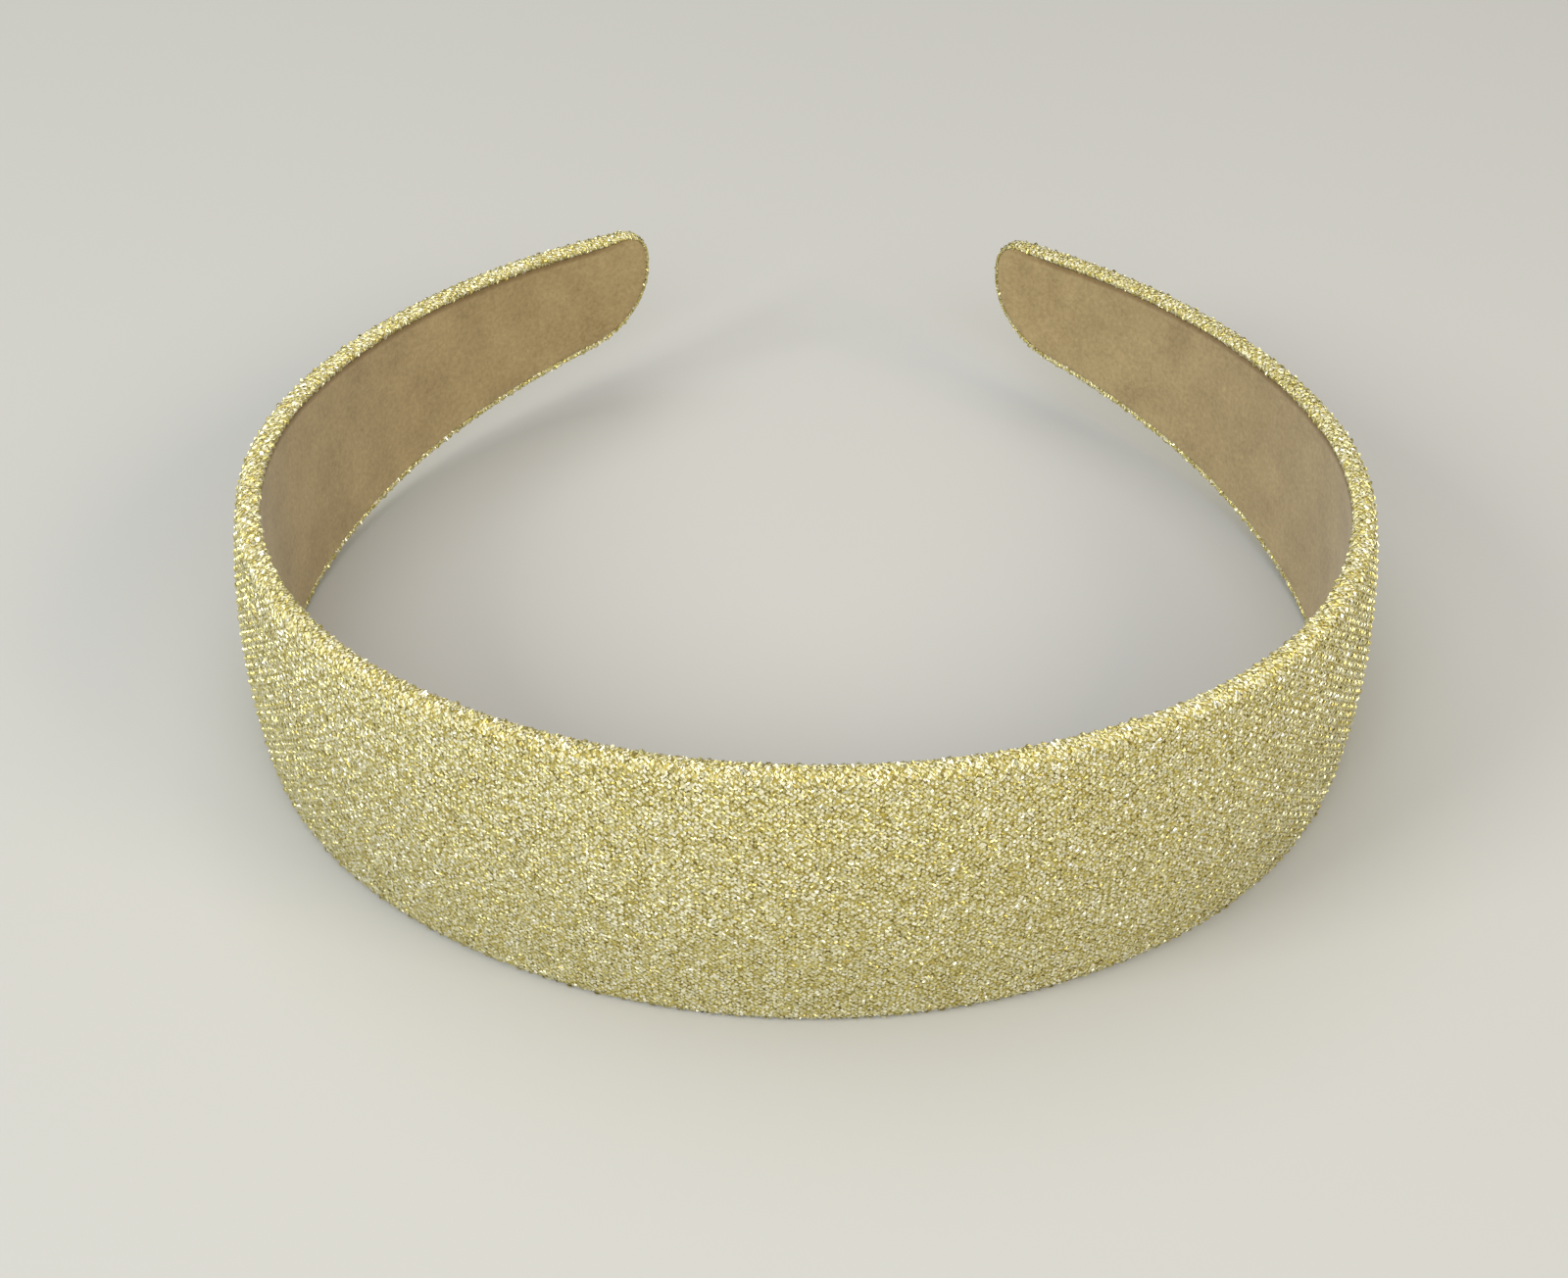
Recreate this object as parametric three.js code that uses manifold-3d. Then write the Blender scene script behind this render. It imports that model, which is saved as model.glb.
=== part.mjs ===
// A stiff fabric headband lying on its lower edge, in millimetres, +Z up.
// The crown faces -Y and the two tips point to +Y. The origin is under the middle of its bounding box.
import * as THREE from "three";
import { mergeVertices } from "three/addons/utils/BufferGeometryUtils.js";
import Module from "manifold-3d";

// Plan of one half: tangent arcs along the middle of the wall, from the crown to a tip.
const PLAN_ARCS = [
  { part: "crown", radius: 76.0, turnDeg: 34.6 },
  { part: "temple", radius: 60.6, turnDeg: 70.2 },
  { part: "arm", radius: 81.8, turnDeg: 47.7 },
];

// Width of the band, against the share of the way from the crown to a tip.
const WIDTH_ROWS = [
  { along: 0.0, width: 36.0 },
  { along: 0.2, width: 35.0 },
  { along: 0.4, width: 32.7 },
  { along: 0.6, width: 29.6 },
  { along: 0.8, width: 23.0 },
  { along: 1.0, width: 15.7 },
];

// The arms sweep upwards over their last stretch, and the tips are rounder below than above.
const TIP_LIFT = 5.6;
const LIFT_STARTS_ALONG = 0.4;
const TIP_RADIUS = { upper: 3.8, lower: 10.2 };

// The covered wall: its thickness at the rim, and how much further the padded outer face swells.
const RIM_THICKNESS = 3.0;
const FACE_SWELL = 1.6;

// The lining strip: how far it stays inside the band's outline, its thickness, how far its front lies
// behind the rim, and the gap that keeps it clear of the cover.
const LINING_MARGIN = { upper: 1.6, lower: 0.9, tip: 0.6 };
const LINING_THICKNESS = 0.8;
const LINING_SET_BACK = 0.2;
const CLEARANCE = 0.3;

// How far the soft lower rim flattens under the band's own weight.
const SETTLE = 0.3;

// Steps of the swept surfaces.
const STEPS = { half: 46, corner: 5, face: 7 };

const INNER_FACE = -RIM_THICKNESS / 2;
const OUTER_FACE = RIM_THICKNESS / 2;
const LINING_FRONT = INNER_FACE + LINING_SET_BACK;
const LINING_BACK = LINING_FRONT + LINING_THICKNESS;
const POCKET_FLOOR = LINING_BACK + CLEARANCE;

// Rim of the cover from the lining's pocket over the edge to the outer face. lip is a share of the lip
// between the outline and the pocket, inset goes further in from there, and out is measured from the
// middle of the wall towards the outside.
const COVER_RIM = [
  { lip: 1.0, inset: 0.0, out: POCKET_FLOOR },
  { lip: 1.0, inset: 0.0, out: INNER_FACE + 0.35 },
  { lip: 0.75, inset: 0.0, out: INNER_FACE + 0.05 },
  { lip: 0.45, inset: 0.0, out: INNER_FACE },
  { lip: 0.12, inset: 0.0, out: INNER_FACE + 0.4 },
  { lip: 0.0, inset: 0.0, out: INNER_FACE + 1.15 },
  { lip: 0.0, inset: 0.0, out: OUTER_FACE - 1.1 },
  { lip: 0.0, inset: 0.3, out: OUTER_FACE - 0.4 },
  { lip: 0.0, inset: 0.9, out: OUTER_FACE },
  { lip: 0.0, inset: 2.0, out: OUTER_FACE },
];

// Edge of the lining from its softly turned front corner to its glued back.
const LINING_EDGE = [
  { lip: 1.0, inset: CLEARANCE + 0.25, out: LINING_FRONT },
  { lip: 1.0, inset: CLEARANCE, out: LINING_FRONT + 0.2 },
  { lip: 1.0, inset: CLEARANCE, out: LINING_BACK },
];

const radians = THREE.MathUtils.degToRad;
const HALF_LENGTH = PLAN_ARCS.reduce((sum, arc) => sum + arc.radius * radians(arc.turnDeg), 0);

// Place and heading of the wall's middle line at a signed distance from the crown.
function planAt(distance) {
  const side = Math.sign(distance) || 1;
  let left = Math.abs(distance);
  let x = 0;
  let y = 0;
  let heading = 0;
  for (const arc of PLAN_ARCS) {
    const turn = Math.min(left / arc.radius, radians(arc.turnDeg));
    x += arc.radius * (Math.sin(heading + turn) - Math.sin(heading));
    y += arc.radius * (Math.cos(heading) - Math.cos(heading + turn));
    heading += turn;
    left -= turn * arc.radius;
  }
  return { x: side * x, y, heading: side * heading };
}

// A point of the band: distance along it, height across it, and how far out from the wall's middle.
function bandPoint(distance, height, out) {
  const plan = planAt(distance);
  const x = plan.x + out * Math.sin(plan.heading);
  const y = plan.y - out * Math.cos(plan.heading);
  return new THREE.Vector3(x, y, height);
}

const widthSpline = new THREE.CubicInterpolant(
  WIDTH_ROWS.map((row) => row.along),
  WIDTH_ROWS.map((row) => row.width),
  1,
);
widthSpline.settings = {
  endingStart: THREE.ZeroSlopeEnding,
  endingEnd: THREE.ZeroCurvatureEnding,
};

// Height of the upper (side 1) or lower (side -1) edge before its tip is rounded.
function edgeHeight(side, distance) {
  const along = distance / HALF_LENGTH;
  const rise = Math.max(0, along - LIFT_STARTS_ALONG) / (1 - LIFT_STARTS_ALONG);
  return TIP_LIFT * rise * rise + (side * widthSpline.evaluate(along)[0]) / 2;
}

// One edge from the crown to the tip, with its rounded corner.
function halfEdge(side, radius) {
  const straight = HALF_LENGTH - radius;
  const points = [];
  for (let i = 0; i <= STEPS.half; i++) {
    const distance = (straight * i) / STEPS.half;
    points.push({ distance, height: edgeHeight(side, distance) });
  }
  for (let i = 1; i <= STEPS.corner; i++) {
    const angle = (Math.PI / 2) * (i / STEPS.corner);
    const distance = straight + radius * Math.sin(angle);
    const drop = radius * (1 - Math.cos(angle));
    points.push({ distance, height: edgeHeight(side, distance) - side * drop });
  }
  return points;
}

// One edge from tip to tip.
function wholeEdge(side, radius) {
  const half = halfEdge(side, radius);
  const mirrored = half
    .slice(1)
    .reverse()
    .map((p) => ({ distance: -p.distance, height: p.height }));
  return [...mirrored, ...half];
}

const UPPER_EDGE = wholeEdge(1, TIP_RADIUS.upper);
const LOWER_EDGE = wholeEdge(-1, TIP_RADIUS.lower);
const STATIONS = UPPER_EDGE.length;

// The closed outline of the unrolled band: along the upper edge, then back along the lower one.
const OUTLINE = [...UPPER_EDGE, ...[...LOWER_EDGE].reverse()];

// Width of the cover's lip beside the lining's pocket, which narrows round the tips.
function lipWidth(index) {
  const margin = index < STATIONS ? LINING_MARGIN.upper : LINING_MARGIN.lower;
  const fromTip = HALF_LENGTH - Math.abs(OUTLINE[index].distance);
  const share = THREE.MathUtils.smoothstep(fromTip, 0, TIP_RADIUS.lower);
  return THREE.MathUtils.lerp(LINING_MARGIN.tip, margin, share) - CLEARANCE;
}

// An outline point moved into the band by one row of a rim, square to the outline.
function insetPoint(index, row) {
  const inset = row.lip * lipWidth(index) + row.inset;
  const here = OUTLINE[index];
  const before = OUTLINE[(index + OUTLINE.length - 1) % OUTLINE.length];
  const after = OUTLINE[(index + 1) % OUTLINE.length];
  const run = after.distance - before.distance;
  const rise = after.height - before.height;
  const length = Math.hypot(run, rise);
  return {
    distance: here.distance + (inset * rise) / length,
    height: here.height - (inset * run) / length,
  };
}

// The section of a swept piece at one station, as a closed ring of points.
function sectionRing(station, rim, faceSteps) {
  const top = OUTLINE[station];
  const bottomIndex = OUTLINE.length - 1 - station;
  const bottom = OUTLINE[bottomIndex];
  const middle = (top.height + bottom.height) / 2;
  const half = (top.height - bottom.height) / 2;
  const swell = FACE_SWELL * (half / (WIDTH_ROWS[0].width / 2));
  const place = (flat, out) => {
    const across = THREE.MathUtils.clamp((flat.height - middle) / half, -1, 1);
    const padded = out > 0 ? out + swell * (1 - across * across) : out;
    return bandPoint(flat.distance, flat.height, padded);
  };
  const upperRim = rim.map((row) => place(insetPoint(station, row), row.out));
  const lowerRim = rim.map((row) => place(insetPoint(bottomIndex, row), row.out));
  const last = rim[rim.length - 1];
  const from = insetPoint(station, last);
  const to = insetPoint(bottomIndex, last);
  const face = [];
  for (let i = 1; i < faceSteps; i++) {
    const share = i / faceSteps;
    const flat = {
      distance: THREE.MathUtils.lerp(from.distance, to.distance, share),
      height: THREE.MathUtils.lerp(from.height, to.height, share),
    };
    face.push(place(flat, last.out));
  }
  return [...upperRim, ...face, ...lowerRim.reverse()];
}

// Triangles that close the tip at one ring: strips between its upper and lower rims, then a fan.
function tipTriangles(ring, rimCount) {
  const size = ring.length;
  const triangles = [];
  for (let k = 0; k < rimCount - 2; k++) {
    const upper = [ring[k], ring[k + 1]];
    const lower = [ring[size - 1 - k], ring[size - 2 - k]];
    triangles.push([upper[0], upper[1], lower[1]], [upper[0], lower[1], lower[0]]);
  }
  const hub = ring[rimCount - 2];
  for (let k = rimCount - 1; k < size - rimCount + 1; k++) {
    triangles.push([hub, ring[k], ring[k + 1]]);
  }
  return triangles;
}

// A closed body swept from tip to tip.
function sweptBody(rim, faceSteps) {
  const points = [];
  const rings = [];
  for (let station = 0; station < STATIONS; station++) {
    const ring = sectionRing(station, rim, faceSteps);
    rings.push(ring.map((_, i) => points.length + i));
    points.push(...ring);
  }
  // The two halves split their four-sided patches along mirrored diagonals.
  const triangles = [];
  for (let station = 0; station + 1 < STATIONS; station++) {
    const near = rings[station];
    const far = rings[station + 1];
    const leftHalf = 2 * station < STATIONS - 1;
    near.forEach((a, i) => {
      const next = (i + 1) % near.length;
      const [b, c, d] = [near[next], far[next], far[i]];
      if (leftHalf) triangles.push([a, b, c], [a, c, d]);
      else triangles.push([a, b, d], [b, c, d]);
    });
  }
  const nearTip = tipTriangles(rings[0], rim.length);
  triangles.push(...nearTip.map(([a, b, c]) => [a, c, b]));
  triangles.push(...tipTriangles(rings[STATIONS - 1], rim.length));
  const geometry = new THREE.BufferGeometry().setFromPoints(points);
  geometry.setIndex(triangles.flat());
  return geometry;
}

// Tilt at which the crown's lower edge and both arms' lower edges lie on one level surface.
function restTilt() {
  const front = bandPoint(0, edgeHeight(-1, 0), 0);
  const crownEnd = PLAN_ARCS[0].radius * radians(PLAN_ARCS[0].turnDeg);
  const tilts = LOWER_EDGE.filter((p) => p.distance > crownEnd).map((p) => {
    const point = bandPoint(p.distance, p.height, 0);
    return Math.atan2(point.z - front.z, point.y - front.y);
  });
  return Math.min(...tilts);
}

const wasm = await Module();
wasm.setup();

function solidFrom(geometry) {
  const bare = geometry.clone();
  bare.deleteAttribute("normal");
  bare.deleteAttribute("uv");
  const merged = mergeVertices(bare);
  return new wasm.Manifold(
    new wasm.Mesh({
      numProp: 3,
      vertProperties: new Float32Array(merged.attributes.position.array),
      triVerts: new Uint32Array(merged.index.array),
    }),
  );
}

function geometryFrom(solid) {
  const mesh = solid.getMesh();
  const geometry = new THREE.BufferGeometry();
  geometry.setAttribute("position", new THREE.BufferAttribute(mesh.vertProperties, 3));
  geometry.setIndex(new THREE.BufferAttribute(mesh.triVerts, 1));
  geometry.computeVertexNormals();
  return geometry;
}

// Takes off what would sink below the level surface, as the soft rim flattens there.
function flattened(geometry) {
  const depth = 10 * SETTLE;
  const reach = 4 * HALF_LENGTH;
  const below = new THREE.BoxGeometry(reach, reach, depth).translate(0, 0, -depth / 2);
  return geometryFrom(solidFrom(geometry).subtract(solidFrom(below)));
}

const coverShape = sweptBody(COVER_RIM, STEPS.face);
const liningShape = sweptBody(LINING_EDGE, 1);

// Both pieces are laid down together: tilted to rest, then lowered until the rim has settled.
const tilt = restTilt();
for (const shape of [coverShape, liningShape]) shape.rotateX(-tilt);
coverShape.computeBoundingBox();
const lowest = coverShape.boundingBox.min.z;
for (const shape of [coverShape, liningShape]) shape.translate(0, 0, -lowest - SETTLE);

const goldKnit = new THREE.MeshStandardMaterial({ color: "#c9c08a", roughness: 0.42, metalness: 0.45 });
const tanSuede = new THREE.MeshStandardMaterial({ color: "#97825a", roughness: 0.95, metalness: 0 });

const cover = new THREE.Mesh(flattened(coverShape), goldKnit);
cover.name = "cover";
const lining = new THREE.Mesh(liningShape, tanSuede);
lining.name = "lining";

const band = new THREE.Group();
band.add(cover, lining);
const box = new THREE.Box3().setFromObject(band);
band.position.y = -(box.min.y + box.max.y) / 2;

const headband = new THREE.Group();
headband.add(band);

export default headband;
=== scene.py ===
# %% [markdown]
# # A metallic knit headband
# A stiff C-shaped band lies on its lower edge. A pale-gold stretch knit is drawn over it and turned in
# round every edge, and a strip of tan suede cloth is glued to the inner face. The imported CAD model
# gives the frame, in metres: the crown faces -Y, the two tips point to +Y and the floor is z = 0. The
# lesson models the band flat, as it would lie unrolled, bends it along its plan, and then knits the
# cover stitch by stitch.

# %% Load the frame
import math

import bpy
import numpy as np
from mathutils import Matrix, Vector


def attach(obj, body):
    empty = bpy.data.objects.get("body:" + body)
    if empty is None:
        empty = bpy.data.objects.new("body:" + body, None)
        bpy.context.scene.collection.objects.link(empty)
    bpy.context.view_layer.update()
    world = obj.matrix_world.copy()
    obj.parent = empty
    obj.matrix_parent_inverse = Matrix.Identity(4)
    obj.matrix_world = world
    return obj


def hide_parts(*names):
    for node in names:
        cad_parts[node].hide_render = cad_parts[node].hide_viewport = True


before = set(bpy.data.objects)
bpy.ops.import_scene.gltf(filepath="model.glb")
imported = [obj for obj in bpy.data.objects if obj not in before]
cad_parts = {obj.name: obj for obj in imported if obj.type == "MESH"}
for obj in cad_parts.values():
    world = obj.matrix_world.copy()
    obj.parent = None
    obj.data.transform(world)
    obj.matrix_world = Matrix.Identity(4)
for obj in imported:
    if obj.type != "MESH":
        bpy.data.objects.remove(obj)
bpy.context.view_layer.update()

MM = 0.001
scene = bpy.context.scene

# %% [markdown]
# ## Four helpers
# Every colour below is written as the sRGB hex value that a paint program shows, and Blender's shaders
# want linear light, so one function turns one into the other. Node trees get long when each node takes
# five lines, so a second function adds a node, sets its options and fills its inputs with values or
# links. The other two start a material and give a colour ramp its stops.

# %% Colours and nodes
def srgb(hex_value):
    channels = [int(hex_value[i : i + 2], 16) / 255 for i in (0, 2, 4)]
    linear = [c / 12.92 if c <= 0.04045 else ((c + 0.055) / 1.055) ** 2.4 for c in channels]
    return (*linear, 1.0)


def add_node(tree, kind, inputs=None, **settings):
    node = tree.nodes.new(kind)
    for name, value in settings.items():
        setattr(node, name, value)
    for key, value in (inputs or {}).items():
        if isinstance(value, bpy.types.NodeSocket):
            tree.links.new(value, node.inputs[key])
        else:
            node.inputs[key].default_value = value
    return node


def new_material(name):
    material = bpy.data.materials.new(name)
    material.use_nodes = True
    return material, material.node_tree, material.node_tree.nodes["Principled BSDF"]


def set_stops(ramp, stops):
    """Give a colour ramp these stops only: (position, sRGB hex), in rising order."""
    ramp.elements.remove(ramp.elements[1])
    (position, colour), *others = stops
    ramp.elements[0].position = position
    ramp.elements[0].color = srgb(colour)
    for position, colour in others:
        ramp.elements.new(position).color = srgb(colour)


print("mid grey in linear light:", [round(c, 3) for c in srgb("808080")])

# %% [markdown]
# ## Camera
# The camera looks down on the crown from in front. Its place is given in the band's own frame, where
# the crown's middle is the origin and the band stands upright, and then laid down with the band: the
# arms sweep upwards, so the band tips back by a few degrees until the crown and both arms touch the
# floor.

# %% The camera
REST_TILT = math.radians(2.62)
REST_SHIFT = Vector((0.0, -64.255, 17.699)) * MM
LAID_DOWN = Matrix.Translation(REST_SHIFT) @ Matrix.Rotation(-REST_TILT, 4, "X")

PHOTO_WIDTH_PX = 1600
FOCAL_LENGTH_PX = 2700
SENSOR_WIDTH_MM = 36.0
LOOK_AT = Vector((-1.94, 47.62, 0.0)) * MM
CAMERA_DISTANCE = 329.4 * MM
CAMERA_ELEVATION = math.radians(36.28)
CAMERA_AZIMUTH = math.radians(2.33)
CAMERA_ROLL = math.radians(0.30)
NEAREST_SEEN = 10 * MM

back = Vector((
    math.sin(CAMERA_AZIMUTH) * math.cos(CAMERA_ELEVATION),
    -math.cos(CAMERA_AZIMUTH) * math.cos(CAMERA_ELEVATION),
    math.sin(CAMERA_ELEVATION),
))
right = Vector((0, 0, 1)).cross(back).normalized()
aim = Matrix((right, back.cross(right), back)).transposed().to_4x4()
aim = Matrix.Translation(LOOK_AT + back * CAMERA_DISTANCE) @ aim @ Matrix.Rotation(CAMERA_ROLL, 4, "Z")

camera_data = bpy.data.cameras.new("camera")
camera_data.sensor_width = SENSOR_WIDTH_MM
camera_data.lens = FOCAL_LENGTH_PX / PHOTO_WIDTH_PX * SENSOR_WIDTH_MM
camera_data.clip_start = NEAREST_SEEN
camera = bpy.data.objects.new("camera", camera_data)
camera.matrix_world = LAID_DOWN @ aim
scene.collection.objects.link(camera)
scene.camera = camera
print("lens in mm:", camera_data.lens)

# %% [markdown]
# ## Floor and light
# A plain pale floor and soft boxes keep the eye on the band. Film yarn is a field of tiny mirrors: each
# loop shows either a box or the dim room, and that is its sparkle. So the boxes stand well apart,
# above, in front and at both sides, and the room between them stays darker. The box on the right is a
# little warm and the one in front a little cool, so the right end of the band looks more golden than
# its crown, as it does in the photo.

# %% Floor, world and lamps
FLOOR_SIZE = 8.0
FLOOR_GREY = "b4b4b2"

floor_mesh = bpy.data.meshes.new("floor")
half = FLOOR_SIZE / 2
floor_corners = [(-half, -half, 0), (half, -half, 0), (half, half, 0), (-half, half, 0)]
floor_mesh.from_pydata(floor_corners, [], [(0, 1, 2, 3)])
floor = bpy.data.objects.new("floor", floor_mesh)
scene.collection.objects.link(floor)
# Matt card: hardly any gloss, so it shows soft shadows and no reflection.
paper, _, paper_shader = new_material("matt_card")
paper_shader.inputs["Base Color"].default_value = srgb(FLOOR_GREY)
paper_shader.inputs["Roughness"].default_value = 0.9
paper_shader.inputs["Specular IOR Level"].default_value = 0.2
floor_mesh.materials.append(paper)

ROOM_COLOUR = "f0ede6"
ROOM_STRENGTH = 0.35
world = bpy.data.worlds.new("studio")
world.use_nodes = True
room = world.node_tree.nodes["Background"]
room.inputs["Color"].default_value = srgb(ROOM_COLOUR)
room.inputs["Strength"].default_value = ROOM_STRENGTH
scene.world = world

LAMPS = (
    # name, place in metres, width and depth in metres, colour, watts
    ("overhead_soft_box", (-0.15, 0.20, 0.95), (0.9, 0.9), "ffffff", 5.0),
    ("front_soft_box", (0.08, -0.85, 0.70), (1.3, 0.5), "f6f9ff", 7.7),
    ("left_soft_box", (-0.75, -0.45, 0.62), (0.40, 0.40), "fffff4", 5.4),
    ("right_soft_box", (0.75, -0.42, 0.62), (0.40, 0.40), "fff0c8", 3.8),
)
for name, place, (width, depth), colour, watts in LAMPS:
    lamp_data = bpy.data.lights.new(name, "AREA")
    lamp_data.shape = "RECTANGLE"
    lamp_data.size = width
    lamp_data.size_y = depth
    lamp_data.color = srgb(colour)[:3]
    lamp_data.energy = watts
    lamp = bpy.data.objects.new(name, lamp_data)
    lamp.location = place
    lamp.rotation_euler = (-Vector(place)).to_track_quat("-Z", "Y").to_euler()
    scene.collection.objects.link(lamp)
scene.view_settings.view_transform = "Standard"
print("lamps:", len(LAMPS))

# %% [markdown]
# ## The unrolled band
# Unrolled, the band is a long lens: widest at the crown, narrowing to two rounded tips that lift a
# little. The outline below is worked out from the same few dimensions as the CAD model. It runs once
# round the band: along the upper edge to the right tip, down that tip, back along the lower edge and up
# the left tip.

# %% Outline of the flat band
PLAN_ARCS = (
    # part, radius in mm, turn in degrees
    ("crown", 76.0, 34.6),
    ("temple", 60.6, 70.2),
    ("arm", 81.8, 47.7),
)
WIDTH_ROWS = (
    # share of the way from crown to tip, width in mm
    (0.0, 36.0),
    (0.2, 35.0),
    (0.4, 32.7),
    (0.6, 29.6),
    (0.8, 23.0),
    (1.0, 15.7),
)
TIP_LIFT = 5.6 * MM
LIFT_STARTS = 0.4
UPPER_TIP_RADIUS = 3.8 * MM
LOWER_TIP_RADIUS = 10.2 * MM
HALF_STEPS = 140
CORNER_STEPS = 12
FACE_STEPS = 14

HALF_LENGTH = sum(radius * MM * math.radians(turn) for _, radius, turn in PLAN_ARCS)
CROWN_WIDTH = WIDTH_ROWS[0][1] * MM
width_along = np.array([row[0] for row in WIDTH_ROWS])
width_value = np.array([row[1] for row in WIDTH_ROWS]) * MM
width_slope = np.zeros(len(WIDTH_ROWS))
width_slope[1:-1] = (width_value[2:] - width_value[:-2]) / (width_along[2:] - width_along[:-2])
width_slope[-1] = (width_value[-1] - width_value[-2]) / (width_along[-1] - width_along[-2])


def band_width(along):
    """Smooth width of the band, from cubic pieces through the rows."""
    i = np.clip(np.searchsorted(width_along, along, side="right") - 1, 0, len(width_along) - 2)
    step = width_along[i + 1] - width_along[i]
    t = (along - width_along[i]) / step
    start = width_value[i] * (1 + 2 * t) * (1 - t) ** 2 + step * width_slope[i] * t * (1 - t) ** 2
    end = width_value[i + 1] * t**2 * (3 - 2 * t) - step * width_slope[i + 1] * t**2 * (1 - t)
    return start + end


def half_edge(side, radius):
    """One edge from the crown to the tip, with its rounded corner, as rows of distance and height."""
    angle = np.linspace(0, math.pi / 2, CORNER_STEPS + 1)[1:]
    straight = np.linspace(0, HALF_LENGTH - radius, HALF_STEPS + 1)
    distance = np.r_[straight, HALF_LENGTH - radius + radius * np.sin(angle)]
    drop = np.r_[np.zeros(HALF_STEPS + 1), radius * (1 - np.cos(angle))]
    along = distance / HALF_LENGTH
    rise = np.maximum(0, along - LIFT_STARTS) / (1 - LIFT_STARTS)
    height = TIP_LIFT * rise**2 + side * (band_width(along) / 2 - drop)
    return np.c_[distance, height]


upper_half = half_edge(1, UPPER_TIP_RADIUS)
lower_half = half_edge(-1, LOWER_TIP_RADIUS)
MIRROR = np.array([-1.0, 1.0])
upper_edge = np.r_[upper_half[:0:-1] * MIRROR, upper_half]
lower_edge = np.r_[lower_half[:0:-1] * MIRROR, lower_half]
share = np.linspace(0, 1, FACE_STEPS + 1)[1:-1, None]
right_tip = upper_edge[-1] * (1 - share) + lower_edge[-1] * share
left_tip = lower_edge[0] * (1 - share) + upper_edge[0] * share
outline = np.r_[upper_edge, right_tip, lower_edge[::-1], left_tip]
STATIONS = len(upper_edge)

run = np.roll(outline, -1, axis=0) - np.roll(outline, 1, axis=0)
outward = np.c_[-run[:, 1], run[:, 0]] / np.linalg.norm(run, axis=1)[:, None]
print("flat length in mm:", round(2 * HALF_LENGTH / MM, 1), "outline points:", len(outline))

# %% [markdown]
# ## A shell from one profile
# Cover and lining are both closed shells: a profile that runs round the outline, closed by one grid on
# the inner face and one on the outer face. Writing that once, with the profile as rows of "how far in
# from the outline" and "how far out from the middle of the wall", gives both pieces and keeps their
# edges parallel. The shell is made flat, standing along X, and carries a map of the unrolled cloth for
# the knit. The hidden side is shifted far off on that map, so that no stitch finds it.

# %% Shell builder
FACE_SWELL = 1.6 * MM
SELVEDGE = 2.0 * MM


def padding(distance, height):
    """How far the padded outer face swells at a place on the flat band."""
    top = np.interp(np.abs(distance), upper_half[:, 0], upper_half[:, 1])
    bottom = np.interp(np.abs(distance), lower_half[:, 0], lower_half[:, 1])
    half_height = np.maximum((top - bottom) / 2, MM)
    across = np.clip((height - (top + bottom) / 2) / half_height, -1, 1)
    return FACE_SWELL * half_height / (CROWN_WIDTH / 2) * (1 - across**2)


def ring_grid(loop):
    """Vertex numbers of a grid over one face, whose border is the closed loop of vertex numbers."""
    grid = np.full((FACE_STEPS + 1, STATIONS), -1)
    grid[0] = loop[:STATIONS]
    grid[-1] = loop[STATIONS + FACE_STEPS - 1 : 2 * STATIONS + FACE_STEPS - 1][::-1]
    grid[1:-1, -1] = loop[STATIONS : STATIONS + FACE_STEPS - 1]
    grid[1:-1, 0] = loop[2 * STATIONS + FACE_STEPS - 1 :][::-1]
    return grid


def flat_shell(name, inset, out, swells, hidden_map_shift):
    """A closed flat shell. inset and out hold the profile, one row for each outline point."""
    points, rows = inset.shape
    flat = outline[:, None, :] - outward[:, None, :] * inset[:, :, None]
    steps = np.hypot(np.diff(inset, axis=1), np.diff(out, axis=1))
    beyond = np.c_[np.cumsum(steps[:, ::-1], axis=1)[:, ::-1], np.zeros(points)] - inset[:, -1:]
    beyond[:, 0] += SELVEDGE
    cloth = outline[:, None, :] + outward[:, None, :] * beyond[:, :, None]
    numbers = np.arange(points * rows).reshape(points, rows)
    places = [np.dstack([flat, out]).reshape(-1, 3)]
    maps = [cloth.reshape(-1, 2)]
    around = np.roll(numbers, -1, axis=0)
    sides = np.stack([numbers[:, :-1], numbers[:, 1:], around[:, 1:], around[:, :-1]], axis=-1)
    faces = [sides.reshape(-1, 4)]
    face_maps = [np.concatenate(maps)[faces[0]]]
    count = points * rows
    for column, turned in ((-1, False), (0, True)):
        grid = ring_grid(numbers[:, column])
        border = np.concatenate(places)
        top, bottom = border[grid[0, 1:-1]], border[grid[-1, 1:-1]]
        fill = top[None] * (1 - share[:, :, None]) + bottom[None] * share[:, :, None]
        grid[1:-1, 1:-1] = np.arange(count, count + fill[..., 0].size).reshape(fill.shape[:2])
        count += fill[..., 0].size
        places.append(fill.reshape(-1, 3))
        corners = [grid[:-1, :-1], grid[1:, :-1], grid[1:, 1:], grid[:-1, 1:]]
        quads = np.stack(corners, axis=-1).reshape(-1, 4)
        faces.append(quads[:, ::-1] if turned else quads)
        here = np.concatenate(places)[faces[-1]][..., :2]
        face_maps.append(here + np.array([hidden_map_shift, 0.0]) if turned else here)
    places = np.concatenate(places)
    if swells:
        places[:, 2] += np.where(places[:, 2] > 0, padding(places[:, 0], places[:, 1]), 0)
    standing = np.c_[places[:, 0], -places[:, 2], places[:, 1]]
    mesh = bpy.data.meshes.new(name)
    mesh.from_pydata(standing.tolist(), [], np.concatenate(faces).tolist())
    mesh.shade_smooth()
    cloth_map = mesh.uv_layers.new(name="cloth")
    cloth_map.uv.foreach_set("vector", np.concatenate(face_maps).astype(np.float32).ravel())
    shell = bpy.data.objects.new(name, mesh)
    scene.collection.objects.link(shell)
    return shell


print("shell builder ready for", len(outline), "outline points")

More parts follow.
